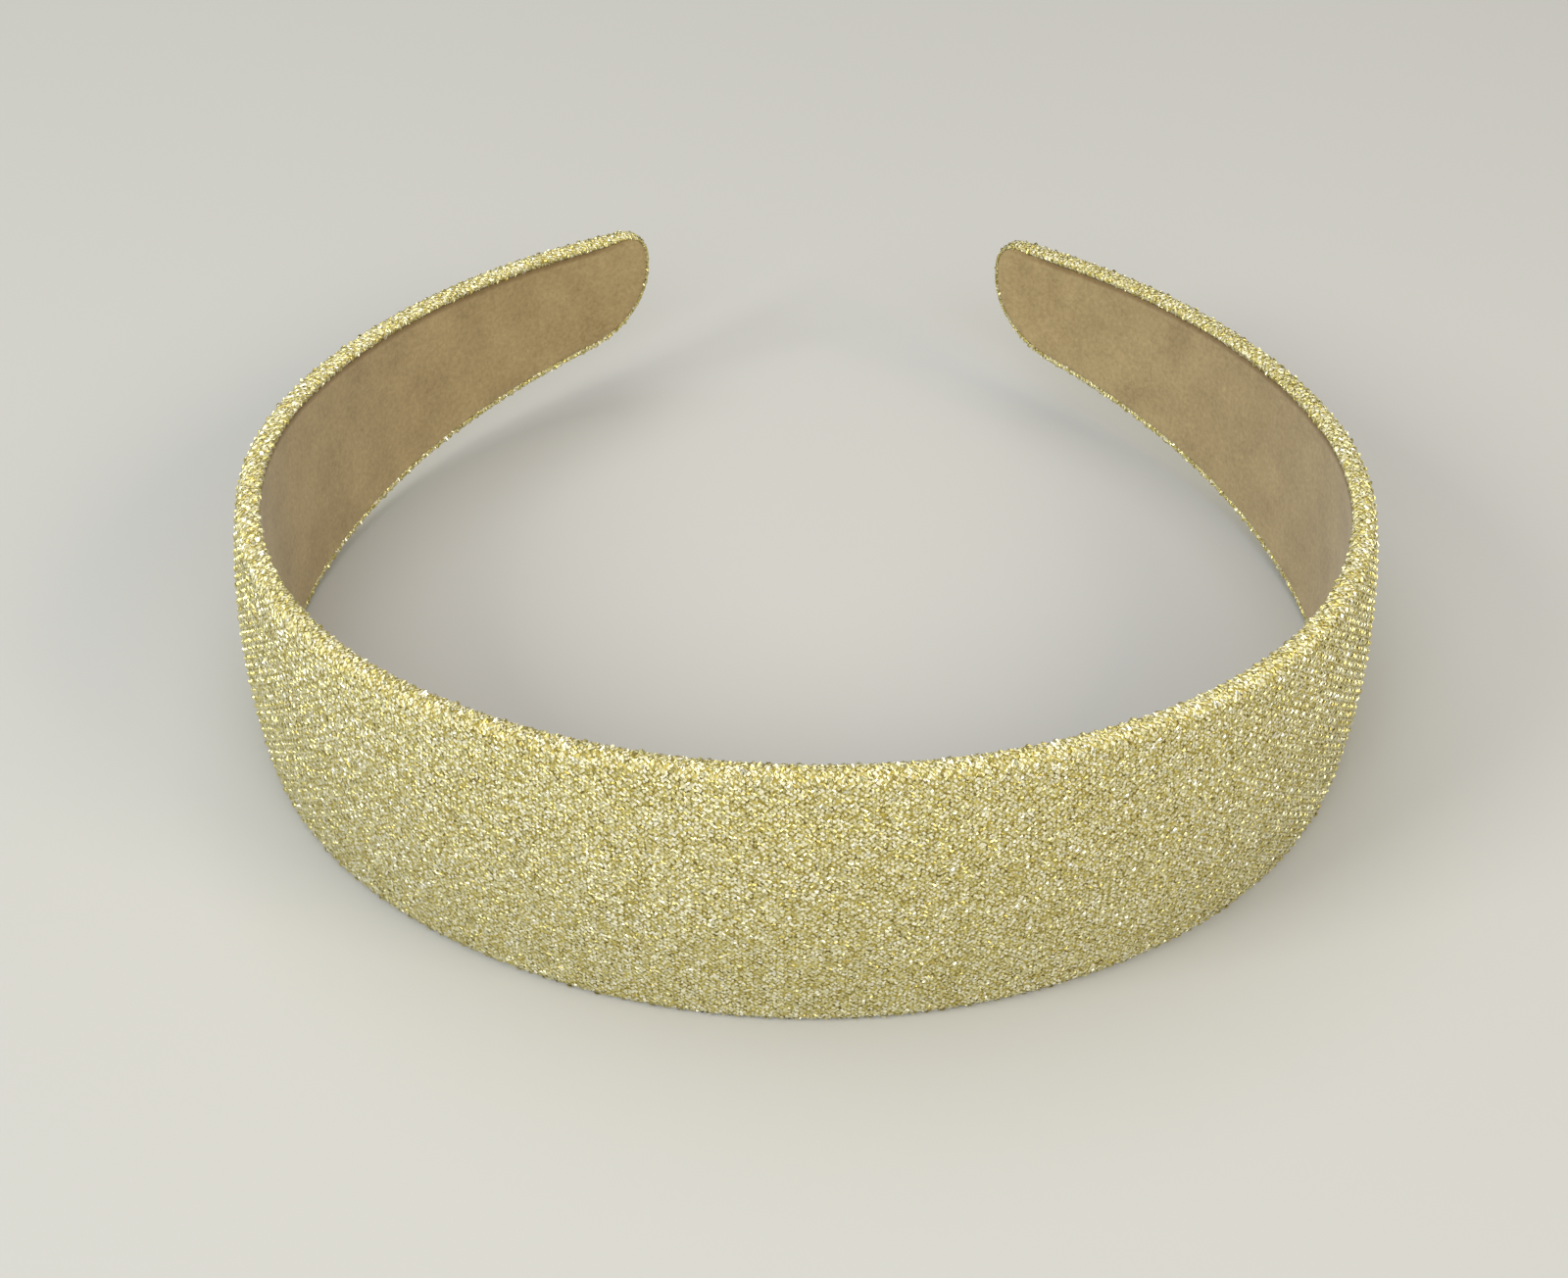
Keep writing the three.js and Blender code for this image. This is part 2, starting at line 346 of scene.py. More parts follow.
# %% [markdown]
# ## Bending along the plan
# On the bench the stiff strip is bent over a former. Here a curve is the former: three tangent arcs for
# each half. A Geometry Nodes tree reads each point of the flat shell as distance along, height and
# depth, looks up the curve at that distance and moves the point there. The same tree then lays the band
# down on the floor.

# %% Plan curve
PLAN_STEP = 0.5 * MM
plan_distance = np.linspace(0, HALF_LENGTH, int(HALF_LENGTH / PLAN_STEP) + 1)
plan_x = np.zeros_like(plan_distance)
plan_y = np.zeros_like(plan_distance)
left_over = plan_distance.copy()
heading = np.zeros_like(plan_distance)
for _, radius, turn in PLAN_ARCS:
    turned = np.minimum(left_over / (radius * MM), math.radians(turn))
    plan_x += radius * MM * (np.sin(heading + turned) - np.sin(heading))
    plan_y += radius * MM * (np.cos(heading) - np.cos(heading + turned))
    heading += turned
    left_over -= turned * radius * MM
half_plan = np.c_[plan_x, plan_y, np.zeros_like(plan_x)]
whole_plan = np.r_[half_plan[:0:-1] * np.array([-1, 1, 1]), half_plan]

plan_data = bpy.data.curves.new("plan", "CURVE")
plan_data.dimensions = "3D"
plan_spline = plan_data.splines.new("POLY")
plan_spline.points.add(len(whole_plan) - 1)
plan_points = np.c_[whole_plan, np.ones(len(whole_plan))].astype(np.float32)
plan_spline.points.foreach_set("co", plan_points.ravel())
plan = bpy.data.objects.new("plan", plan_data)
scene.collection.objects.link(plan)
plan.hide_render = True
print("plan curve points:", len(whole_plan))

# %% Starting and running a node tree
def new_geometry_tree(name, sockets):
    """An empty Geometry Nodes tree with a geometry in, a geometry out and the named inputs."""
    tree = bpy.data.node_groups.new(name, "GeometryNodeTree")
    tree.interface.new_socket("Geometry", in_out="OUTPUT", socket_type="NodeSocketGeometry")
    tree.interface.new_socket("Geometry", in_out="INPUT", socket_type="NodeSocketGeometry")
    for label, kind in sockets:
        tree.interface.new_socket(label, in_out="INPUT", socket_type=kind)
    return tree, add_node(tree, "NodeGroupInput").outputs, add_node(tree, "NodeGroupOutput").inputs


def run_tree(piece, tree, values):
    """Run a tree on a piece, its inputs set by identifier, and keep the result as a plain mesh."""
    modifier = piece.modifiers.new(tree.name, "NODES")
    modifier.node_group = tree
    identifiers = {s.name: s.identifier for s in tree.interface.items_tree if s.in_out == "INPUT"}
    for label, value in values.items():
        modifier[identifiers[label]] = value
    graph = bpy.context.evaluated_depsgraph_get()
    evaluated = piece.evaluated_get(graph)
    mesh = bpy.data.meshes.new_from_object(evaluated, preserve_all_data_layers=True, depsgraph=graph)
    piece.modifiers.remove(modifier)
    piece.data = mesh
    mesh.name = piece.name
    return piece


print("node trees start with a geometry in, a geometry out and their named inputs")

# %% Bending tree
bend, bend_in, bend_out = new_geometry_tree("bend_along_plan", (
    ("Plan", "NodeSocketObject"),
    ("Half length", "NodeSocketFloat"),
    ("Rest tilt", "NodeSocketFloat"),
    ("Rest shift", "NodeSocketVector"),
    ("Floor height", "NodeSocketFloat"),
))
position = add_node(bend, "GeometryNodeInputPosition").outputs[0]
flat_place = add_node(bend, "ShaderNodeSeparateXYZ", {0: position})
distance = add_node(bend, "ShaderNodeMath", {0: flat_place.outputs["X"], 1: bend_in["Half length"]})
former = add_node(bend, "GeometryNodeObjectInfo", {"Object": bend_in["Plan"]})
former_at = add_node(bend, "GeometryNodeSampleCurve", {
    "Curves": former.outputs["Geometry"], "Length": distance.outputs[0],
}, mode="LENGTH", use_all_curves=True)
out_of_wall = add_node(bend, "ShaderNodeVectorMath", {
    0: (0, 0, 1), 1: former_at.outputs["Tangent"],
}, operation="CROSS_PRODUCT")
depth = add_node(bend, "ShaderNodeVectorMath", {
    0: out_of_wall.outputs[0], "Scale": flat_place.outputs["Y"],
}, operation="SCALE")
height = add_node(bend, "ShaderNodeCombineXYZ", {"Z": flat_place.outputs["Z"]})
on_former = add_node(bend, "ShaderNodeVectorMath", {
    0: former_at.outputs["Position"], 1: depth.outputs[0],
})
bent_place = add_node(bend, "ShaderNodeVectorMath", {0: on_former.outputs[0], 1: height.outputs[0]})
bent = add_node(bend, "GeometryNodeSetPosition", {
    "Geometry": bend_in["Geometry"], "Position": bent_place.outputs[0],
})
rest_turn = add_node(bend, "ShaderNodeCombineXYZ", {"X": bend_in["Rest tilt"]})
laid = add_node(bend, "GeometryNodeTransform", {
    "Geometry": bent.outputs[0], "Translation": bend_in["Rest shift"], "Rotation": rest_turn.outputs[0],
})
laid_place = add_node(bend, "ShaderNodeSeparateXYZ", {0: position})
above_floor = add_node(bend, "ShaderNodeMath", {
    0: laid_place.outputs["Z"], 1: bend_in["Floor height"],
}, operation="MAXIMUM")
pressed_place = add_node(bend, "ShaderNodeCombineXYZ", {
    "X": laid_place.outputs["X"], "Y": laid_place.outputs["Y"], "Z": above_floor.outputs[0],
})
pressed = add_node(bend, "GeometryNodeSetPosition", {
    "Geometry": laid.outputs[0], "Position": pressed_place.outputs[0],
})
bend.links.new(pressed.outputs[0], bend_out["Geometry"])


def bent_piece(shell, floor_height):
    return run_tree(shell, bend, {
        "Plan": plan,
        "Half length": HALF_LENGTH,
        "Rest tilt": -REST_TILT,
        "Rest shift": tuple(REST_SHIFT),
        "Floor height": floor_height,
    })


print("bending tree nodes:", len(bend.nodes))

# %% [markdown]
# ## The cover's ground
# Under the loops of a knit lies its ground: the backs of the stitches and the padded band, seen only
# through the gaps. It is the padded body itself, a soft bead round both edges and a slightly crowned
# outer face, drawn in by the height of the yarn so that the loops end on the true outline. On the inner
# face the bead stops at the lining's pocket.

# %% Profile of the cover
# How far the ground lies inside the true outline: under the yarn, at the pocket's wall, and deeper along
# the upper wall.
YARN_STAND = 0.24 * MM
WALL_STAND = 0.04 * MM
UPPER_GROOVE = 0.12 * MM
LINING_MARGIN_UPPER = 1.6 * MM
LINING_MARGIN_LOWER = 1.4 * MM
LINING_MARGIN_TIP = 0.8 * MM
CLEARANCE = 0.3 * MM
COVER_RIM = (
    # share of the lip, further inset in mm, depth out from the middle of the wall in mm
    (1.00, 0.0, -0.20),
    (1.00, 0.0, -1.15),
    (0.75, 0.0, -1.45),
    (0.45, 0.0, -1.50),
    (0.12, 0.0, -1.10),
    (0.00, 0.0, -0.35),
    (0.00, 0.0, 0.40),
    (0.00, 0.3, 1.10),
    (0.00, 0.9, 1.50),
    (0.00, 2.0, 1.50),
)
RIM_SUBSTEPS = 3


def smooth_rows(rows, substeps):
    """Rows with points added between them on cubic pieces, so that a bead has no flats."""
    slope = np.gradient(rows, axis=0)
    filled = []
    for i in range(len(rows) - 1):
        for t in np.arange(substeps) / substeps:
            start = rows[i] * (1 + 2 * t) * (1 - t) ** 2 + slope[i] * t * (1 - t) ** 2
            end = rows[i + 1] * t**2 * (3 - 2 * t) - slope[i + 1] * t**2 * (1 - t)
            filled.append(start + end)
    return np.array([*filled, rows[-1]])


from_tip = np.clip((HALF_LENGTH - np.abs(outline[:, 0])) / LOWER_TIP_RADIUS, 0, 1)
eased = from_tip**2 * (3 - 2 * from_tip)
margin = np.where(outward[:, 1] > 0, LINING_MARGIN_UPPER, LINING_MARGIN_LOWER)
lip = (LINING_MARGIN_TIP + (margin - LINING_MARGIN_TIP) * eased - CLEARANCE)[:, None]
groove = (WALL_STAND + np.where(outward[:, 1] > 0, UPPER_GROOVE, 0.0) * eased)[:, None]
rim = smooth_rows(np.array(COVER_RIM), RIM_SUBSTEPS)
inset = lip * rim[:, 0] + rim[:, 1] * MM
out = np.ones_like(lip) * rim[:, 2] * MM
profile_run = np.gradient(inset, axis=1)
profile_rise = np.gradient(out, axis=1)
profile_step = np.hypot(profile_run, profile_rise)
from_wall = np.clip((np.arange(len(rim)) - RIM_SUBSTEPS) / RIM_SUBSTEPS, 0, 1)
stand_rows = groove + (YARN_STAND - groove) * from_wall
ground_inset = inset + stand_rows * profile_rise / profile_step
ground_out = out - stand_rows * profile_run / profile_step
rim_vertices = np.tile(np.arange(len(rim)) <= RIM_SUBSTEPS // 2, len(outline))
print("rim profile rows:", len(rim))

# %% Ground of the cover
GROUND_FLOOR = 0.06 * MM
HIDDEN_MAP_SHIFT = 2.0
cover = flat_shell("knit_cover", ground_inset, ground_out, True, HIDDEN_MAP_SHIFT)
tucked_rows = np.zeros(len(cover.data.vertices), dtype=np.float32)
tucked_rows[: rim_vertices.size] = rim_vertices
cover.data.attributes.new("tucked", "FLOAT", "POINT").data.foreach_set("value", tucked_rows)
bent_piece(cover, GROUND_FLOOR)
cover_box = [round(c / MM, 2) for c in cover.dimensions]
print("cover faces:", len(cover.data.polygons), "box in mm:", cover_box)

# %% [markdown]
# ## Stitches
# The cloth is a fine metallic knit: a slit film of metallised polyester is knitted together with pale
# filament yarn. The eye sees short bits of both, each lying its own way: the raised heads of the loops,
# large and small, in slanting rows, and the legs and feet between them. A bump map would be flat at the
# edges, where the photo shows a beaded outline, so each bit is a tiny closed tube. One of each shape is
# modelled here, as a sample to repeat.

# %% Four sample stitches
# The pitch of the knit, from row to row and from column to column.
COURSE = 0.62 * MM
WALE = 0.82 * MM
# A section has its three corners as shares of the width, across, and of the height, up.
RIDGED = ((-0.5, 0.0), (0.5, 0.0), (0.0, 1.0))
FLAT_TOPPED = ((0.5, 1.0), (-0.5, 1.0), (0.0, 0.0))
# A path has its points along, across and up, in mm.
HEAD_PATH = (
    (-0.23, -0.21, 0.00),
    (-0.14, 0.09, 0.16),
    (0.02, 0.21, 0.22),
    (0.16, 0.07, 0.16),
    (0.23, -0.21, 0.00),
)
SMALL_HEAD_PATH = (
    (-0.18, -0.10, 0.02),
    (0.00, 0.14, 0.18),
    (0.18, -0.10, 0.02),
)
FILM_LEG_PATH = (
    (-0.18, 0.00, 0.05),
    (0.18, 0.00, 0.05),
)
PALE_LEG_PATH = (
    (-0.21, 0.00, 0.02),
    (0.21, 0.00, 0.02),
)
SAMPLES = {
    # stitch: path, section, width and height in mm
    "film_head": (HEAD_PATH, RIDGED, 0.28, 0.13),
    "small_head": (SMALL_HEAD_PATH, RIDGED, 0.26, 0.12),
    "film_leg": (FILM_LEG_PATH, RIDGED, 0.25, 0.09),
    "pale_leg": (PALE_LEG_PATH, FLAT_TOPPED, 0.30, 0.07),
}


def yarn(name, path, section, width, height):
    """A closed three-sided tube along a path, with the given section."""
    corners = len(section)
    path = np.array(path) * MM
    ahead = np.gradient(path, axis=0)
    ahead /= np.linalg.norm(ahead, axis=1)[:, None]
    side = np.cross(ahead, [0, 0, 1])
    side /= np.linalg.norm(side, axis=1)[:, None]
    up = np.cross(side, ahead)
    strands = [path + side * width * across + up * height * rise for across, rise in section]
    places = np.stack(strands, axis=1).reshape(-1, 3)
    last = len(places) - 1
    faces = [(0, 1, 2), (last, last - 1, last - 2)]
    for ring in range(0, len(places) - corners, corners):
        ahead_ring = ring + corners
        for k in range(corners):
            following = (k + 1) % corners
            faces.append((ring + k, ahead_ring + k, ahead_ring + following, ring + following))
    mesh = bpy.data.meshes.new(name)
    mesh.from_pydata(places.tolist(), [], faces)
    mesh.update()
    piece = bpy.data.objects.new(name, mesh)
    scene.collection.objects.link(piece)
    piece.hide_render = True
    return piece


samples = {
    stitch: yarn(f"one_{stitch}", path, section, width * MM, height * MM)
    for stitch, (path, section, width, height) in SAMPLES.items()
}
for sample in samples.values():
    sample.data.calc_loop_triangles()
    print(sample.name, "triangles:", len(sample.data.loop_triangles))

# %% [markdown]
# ## Film and filament
# The two yarns look different because they are made differently. The film is plastic with a metal coat
# under gold lacquer, cut into strips: it reflects the lamps, so it is a metal here, with a thin clear
# coat. The filament is dyed thread and scatters the light, so it is plain and matt. Each stitch carries
# its own tone, an attribute that the knitting tree stores, and a colour ramp turns that tone into a
# colour.

# %% Stitch materials
film, film_tree, film_shader = new_material("metallised_polyester_film")
# Slit film under gold lacquer: a warm mirror, some stitches paler and some browner, with creamy glints.
film_tone = add_node(film_tree, "ShaderNodeAttribute", attribute_name="tone").outputs["Fac"]
film_tones = add_node(film_tree, "ShaderNodeValToRGB", {"Fac": film_tone})
set_stops(film_tones.color_ramp, (
    (0.0, "ad9436"),
    (0.3, "c9ba58"),
    (0.7, "dfda9e"),
    (1.0, "f6f3e2"),
))
film_tree.links.new(film_tones.outputs["Color"], film_shader.inputs["Base Color"])
film_shader.inputs["Metallic"].default_value = 1.0
film_shader.inputs["Roughness"].default_value = 0.34
film_shader.inputs["Coat Weight"].default_value = 1.0
film_shader.inputs["Coat Roughness"].default_value = 0.25
film_shader.inputs["Coat IOR"].default_value = 1.8

filament, filament_tree, filament_shader = new_material("pale_polyester_filament")
# Dyed filament yarn: pale and matt beside the film, a soft cream between the glints.
filament_tone = add_node(filament_tree, "ShaderNodeAttribute", attribute_name="tone").outputs["Fac"]
filament_tones = add_node(filament_tree, "ShaderNodeValToRGB", {"Fac": filament_tone})
set_stops(filament_tones.color_ramp, (
    (0.0, "b5ab6e"),
    (0.5, "cec9a5"),
    (1.0, "e7e4d2"),
))
filament_tree.links.new(filament_tones.outputs["Color"], filament_shader.inputs["Base Color"])
filament_shader.inputs["Roughness"].default_value = 0.6
filament_shader.inputs["Specular IOR Level"].default_value = 0.15
print("stitch materials:", film.name, filament.name)

# %% [markdown]
# ## Knitting with nodes
# Thousands of stitches of each kind can't be placed by hand, so a Geometry Nodes tree does it. It lays
# a lattice of points over the unrolled cloth, one for each loop, and moves each point a little. For the
# heads it keeps only every fourth diagonal, which gives the slanting rows. A sample stitch goes on
# every point, turned, leaned, sized and toned at random from a fixed seed. Sampling the cover's cloth
# map then carries the stitches to their places on the bent band, standing off the ground.

# %% Knitting tree: the slanting lattice
STEP_TOLERANCE = 0.5
knit, knit_in, knit_out = new_geometry_tree("knit_on_cloth", (
    ("Cloth", "NodeSocketObject"),
    ("Stitch", "NodeSocketObject"),
    ("Wale", "NodeSocketFloat"),
    ("Course", "NodeSocketFloat"),
    ("Columns", "NodeSocketInt"),
    ("Rows", "NodeSocketInt"),
    ("From", "NodeSocketFloat"),
    ("To", "NodeSocketFloat"),
    ("Shift", "NodeSocketVector"),
    ("Wander", "NodeSocketFloat"),
    ("Lean", "NodeSocketFloat"),
    ("Turn", "NodeSocketFloat"),
    ("Slant", "NodeSocketFloat"),
    ("Twill repeat", "NodeSocketInt"),
    ("Twill step", "NodeSocketInt"),
    ("Patch size", "NodeSocketFloat"),
    ("Tone", "NodeSocketFloat"),
    ("Lowest", "NodeSocketFloat"),
    ("Seed", "NodeSocketInt"),
    ("Material", "NodeSocketMaterial"),
))
columns = add_node(knit, "ShaderNodeMath", {0: knit_in["Columns"], 1: -1.0})
rows = add_node(knit, "ShaderNodeMath", {0: knit_in["Rows"], 1: -1.0})
size_x = add_node(knit, "ShaderNodeMath", {
    0: columns.outputs[0], 1: knit_in["Wale"],
}, operation="MULTIPLY")
size_y = add_node(knit, "ShaderNodeMath", {
    0: rows.outputs[0], 1: knit_in["Course"],
}, operation="MULTIPLY")
lattice = add_node(knit, "GeometryNodeMeshGrid", {
    "Size X": size_x.outputs[0], "Size Y": size_y.outputs[0],
    "Vertices X": knit_in["Columns"], "Vertices Y": knit_in["Rows"],
})
point_number = add_node(knit, "GeometryNodeInputIndex").outputs[0]
row = add_node(knit, "ShaderNodeMath", {0: point_number, 1: knit_in["Rows"]}, operation="MODULO")
column = add_node(knit, "ShaderNodeMath", {0: point_number, 1: knit_in["Rows"]}, operation="DIVIDE")
column = add_node(knit, "ShaderNodeMath", {0: column.outputs[0]}, operation="FLOOR")
diagonal = add_node(knit, "ShaderNodeMath", {
    0: row.outputs[0], 1: column.outputs[0],
}, operation="SUBTRACT")
step = add_node(knit, "ShaderNodeMath", {
    0: diagonal.outputs[0], 1: knit_in["Twill repeat"],
}, operation="FLOORED_MODULO")
other_step = add_node(knit, "FunctionNodeCompare", {
    0: step.outputs[0], 1: knit_in["Twill step"], "Epsilon": STEP_TOLERANCE,
}, operation="NOT_EQUAL")
spread = add_node(knit, "ShaderNodeCombineXYZ", {"X": knit_in["Wander"], "Y": knit_in["Wander"]})
spread_back = add_node(knit, "ShaderNodeVectorMath", {
    0: spread.outputs[0], "Scale": -1.0,
}, operation="SCALE")
# A Random Value node takes the range of a vector on sockets 0 and 1, and that of a number on 2 and 3.
wander = add_node(knit, "FunctionNodeRandomValue", {
    0: spread_back.outputs[0], 1: spread.outputs[0], "Seed": knit_in["Seed"],
}, data_type="FLOAT_VECTOR")
shift = add_node(knit, "ShaderNodeVectorMath", {0: knit_in["Shift"], 1: wander.outputs[0]})
wandered = add_node(knit, "GeometryNodeSetPosition", {
    "Geometry": lattice.outputs["Mesh"], "Offset": shift.outputs[0],
})
points = add_node(knit, "GeometryNodeDeleteGeometry", {
    "Geometry": wandered.outputs[0], "Selection": other_step.outputs[0],
}, domain="POINT")
print("lattice nodes:", len(knit.nodes))

# %% Knitting tree: points on the cloth
MOSTLY_TUCKED = 0.5
cloth = add_node(knit, "GeometryNodeObjectInfo", {"Object": knit_in["Cloth"]})
faced = add_node(knit, "GeometryNodeCaptureAttribute", {
    "Geometry": cloth.outputs["Geometry"],
}, domain="POINT")
faced.capture_items.new("VECTOR", "Normal")
knit.links.new(add_node(knit, "GeometryNodeInputNormal").outputs[0], faced.inputs["Normal"])
cloth_map = add_node(knit, "GeometryNodeInputNamedAttribute", {
    "Name": "cloth",
}, data_type="FLOAT_VECTOR")
tucked = add_node(knit, "GeometryNodeInputNamedAttribute", {"Name": "tucked"}, data_type="FLOAT")
here = add_node(knit, "GeometryNodeInputPosition").outputs[0]
under_lining = add_node(knit, "GeometryNodeSampleUVSurface", {
    "Mesh": cloth.outputs["Geometry"], "Value": tucked.outputs[0],
    "UV Map": cloth_map.outputs[0], "Sample UV": here,
}, data_type="FLOAT")
hidden = add_node(knit, "FunctionNodeCompare", {
    0: under_lining.outputs["Value"], 1: MOSTLY_TUCKED,
}, operation="GREATER_THAN")
off_cloth = add_node(knit, "FunctionNodeBooleanMath", {
    0: under_lining.outputs["Is Valid"],
}, operation="NOT")
along = add_node(knit, "ShaderNodeSeparateXYZ", {0: here}).outputs["X"]
before = add_node(knit, "FunctionNodeCompare", {0: along, 1: knit_in["From"]}, operation="LESS_THAN")
beyond = add_node(knit, "FunctionNodeCompare", {0: along, 1: knit_in["To"]}, operation="GREATER_EQUAL")
not_here = add_node(knit, "FunctionNodeBooleanMath", {
    0: before.outputs[0], 1: beyond.outputs[0],
}, operation="OR")
not_cloth = add_node(knit, "FunctionNodeBooleanMath", {
    0: hidden.outputs[0], 1: off_cloth.outputs[0],
}, operation="OR")
left_off = add_node(knit, "FunctionNodeBooleanMath", {
    0: not_here.outputs[0], 1: not_cloth.outputs[0],
}, operation="OR")
kept = add_node(knit, "GeometryNodeDeleteGeometry", {
    "Geometry": points.outputs[0], "Selection": left_off.outputs[0],
}, domain="POINT")
print("nodes up to the points:", len(knit.nodes))

# %% Knitting tree: one stitch on each point
SMALLEST_STITCH = 0.75
LARGEST_STITCH = 1.2
stitch = add_node(knit, "GeometryNodeObjectInfo", {"Object": knit_in["Stitch"]})
lean = add_node(knit, "ShaderNodeCombineXYZ", {
    "X": knit_in["Lean"], "Y": knit_in["Lean"], "Z": knit_in["Turn"],
})
lean_back = add_node(knit, "ShaderNodeVectorMath", {
    0: lean.outputs[0], "Scale": -1.0,
}, operation="SCALE")
# Each random draw takes a seed of its own, counted up from the piece's seed.
lean_seed = add_node(knit, "ShaderNodeMath", {0: knit_in["Seed"], 1: 1.0})
leaning = add_node(knit, "FunctionNodeRandomValue", {
    0: lean_back.outputs[0], 1: lean.outputs[0], "Seed": lean_seed.outputs[0],
}, data_type="FLOAT_VECTOR")
slant = add_node(knit, "ShaderNodeCombineXYZ", {"Z": knit_in["Slant"]})
turn = add_node(knit, "ShaderNodeVectorMath", {0: slant.outputs[0], 1: leaning.outputs[0]})
size_seed = add_node(knit, "ShaderNodeMath", {0: knit_in["Seed"], 1: 3.0})
size = add_node(knit, "FunctionNodeRandomValue", {
    2: SMALLEST_STITCH, 3: LARGEST_STITCH, "Seed": size_seed.outputs[0],
})
stitches = add_node(knit, "GeometryNodeInstanceOnPoints", {
    "Points": kept.outputs[0], "Instance": stitch.outputs["Geometry"], "Rotation": turn.outputs[0],
    "Scale": size.outputs[1],
})
print("nodes with stitches:", len(knit.nodes))

# %% Knitting tree: a tone for each stitch
DARKEST_TONE = -0.1
PALEST_TONE = 0.6
PATCH_SHARE = 0.5
tone_seed = add_node(knit, "ShaderNodeMath", {0: knit_in["Seed"], 1: 2.0})
chance = add_node(knit, "FunctionNodeRandomValue", {
    2: DARKEST_TONE, 3: PALEST_TONE, "Seed": tone_seed.outputs[0],
})
own_tone = add_node(knit, "ShaderNodeMath", {0: knit_in["Tone"], 1: chance.outputs[1]})
patch_scale = add_node(knit, "ShaderNodeMath", {0: 1.0, 1: knit_in["Patch size"]}, operation="DIVIDE")
patch = add_node(knit, "ShaderNodeTexNoise", {
    "Vector": here, "Scale": patch_scale.outputs[0], "Detail": 2.0,
})
tone_value = add_node(knit, "ShaderNodeMath", {
    0: patch.outputs[0], 1: PATCH_SHARE, 2: own_tone.outputs[0],
}, operation="MULTIPLY_ADD")
toned = add_node(knit, "GeometryNodeStoreNamedAttribute", {
    "Geometry": stitches.outputs[0], "Name": "tone", "Value": tone_value.outputs[0],
}, domain="INSTANCE")
whole = add_node(knit, "GeometryNodeRealizeInstances", {"Geometry": toned.outputs[0]})
print("nodes with tones:", len(knit.nodes))

# %% Knitting tree: onto the bent band
# Only the height has a lowest value, at the floor, so the other two lie far below any place on the band.
NO_LIMIT = -1.0
# The second map, for baking, spreads one half of the unrolled cloth over a square.
bake_corner = add_node(knit, "ShaderNodeCombineXYZ", {"X": knit_in["From"], "Y": -CROWN_WIDTH})
bake_span_x = add_node(knit, "ShaderNodeMath", {
    0: knit_in["To"], 1: knit_in["From"],
}, operation="SUBTRACT")
bake_span = add_node(knit, "ShaderNodeCombineXYZ", {
    "X": bake_span_x.outputs[0], "Y": 2 * CROWN_WIDTH, "Z": 1.0,
})
bake_from = add_node(knit, "ShaderNodeVectorMath", {
    0: here, 1: bake_corner.outputs[0],
}, operation="SUBTRACT")
bake_place = add_node(knit, "ShaderNodeVectorMath", {
    0: bake_from.outputs[0], 1: bake_span.outputs[0],
}, operation="DIVIDE")
mapped = add_node(knit, "GeometryNodeStoreNamedAttribute", {
    "Geometry": whole.outputs[0], "Name": "OFBake", "Value": bake_place.outputs[0],
}, data_type="FLOAT2", domain="CORNER")
stand = add_node(knit, "ShaderNodeSeparateXYZ", {0: here}).outputs["Z"]
cloth_place, cloth_normal = [
    add_node(knit, "GeometryNodeSampleUVSurface", {
        "Mesh": faced.outputs["Geometry"], "Value": value,
        "UV Map": cloth_map.outputs[0], "Sample UV": here,
    }, data_type="FLOAT_VECTOR").outputs["Value"]
    for value in (here, faced.outputs["Normal"])
]
off_ground = add_node(knit, "ShaderNodeVectorMath", {
    0: cloth_normal, "Scale": stand,
}, operation="SCALE")
wrapped = add_node(knit, "ShaderNodeVectorMath", {0: cloth_place, 1: off_ground.outputs[0]})
lowest = add_node(knit, "ShaderNodeCombineXYZ", {
    "X": NO_LIMIT, "Y": NO_LIMIT, "Z": knit_in["Lowest"],
})
rested = add_node(knit, "ShaderNodeVectorMath", {
    0: wrapped.outputs[0], 1: lowest.outputs[0],
}, operation="MAXIMUM")
worn = add_node(knit, "GeometryNodeSetPosition", {
    "Geometry": mapped.outputs[0], "Position": rested.outputs[0],
})
finished = add_node(knit, "GeometryNodeSetMaterial", {
    "Geometry": worn.outputs[0], "Material": knit_in["Material"],
})
knit.links.new(finished.outputs[0], knit_out["Geometry"])
print("knitting tree nodes:", len(knit.nodes))

# %% Knit the cover
CLOTH_MARGIN = 7 * MM
PATCH_SIZE = 1.6 * MM
FLOOR_GAP = 0.01 * MM
END = HALF_LENGTH + CLOTH_MARGIN
STITCH_KINDS = {
    # kind: stitch, material, twill repeat and step, shift along and across and wander in mm,
    # slant, turn and lean in degrees, tone, seed
    "film_heads": ("film_head", film, 4, 0, (0.0, 0.0), 0.05, 0, 12, 12, 0.08, 11),
    "small_heads": ("small_head", film, 4, 2, (0.0, 0.0), 0.06, 0, 15, 15, 0.05, 13),
    "film_legs": ("film_leg", film, 1, 0, (0.41, 0.10), 0.10, -50, 25, 14, 0.0, 17),
    "pale_legs": ("pale_leg", filament, 1, 0, (0.10, 0.31), 0.12, -45, 25, 8, 0.0, 23),
    "pale_feet": ("pale_leg", filament, 1, 0, (0.51, 0.00), 0.12, 55, 25, 8, 0.0, 31),
}
KNIT_HALVES = (
    # side, from, to
    ("left", -END, 0.0),
    ("right", 0.0, END),
)
COLUMNS = 2 * math.ceil(END / WALE) + 1
ROWS = 2 * math.ceil((CROWN_WIDTH / 2 + CLOTH_MARGIN) / COURSE) + 1
knit_pieces = []
